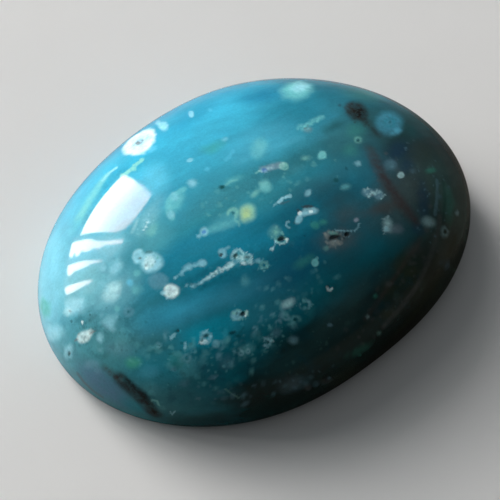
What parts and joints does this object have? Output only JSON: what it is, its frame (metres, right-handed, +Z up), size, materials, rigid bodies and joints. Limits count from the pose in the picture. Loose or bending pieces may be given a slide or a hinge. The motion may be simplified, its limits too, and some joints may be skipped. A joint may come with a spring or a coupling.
{
  "type": "oval gem silica cabochon",
  "caption": "Oval high-domed cabochon of polished blue-green gem silica with a flat back, for setting in jewellery or for display.",
  "frame": {"origin": "middle of the stone's length and width, on its flat back", "axes": "+X along the stone's long axis, +Y along its short axis, +Z up out of the dome"},
  "size_m": [0.025, 0.018, 0.0071],
  "materials": {
    "gem_silica": "polished"
  },
  "bodies": {
    "root": {"gem_silica_cabochon": "gem_silica"}
  },
  "joints": []
}
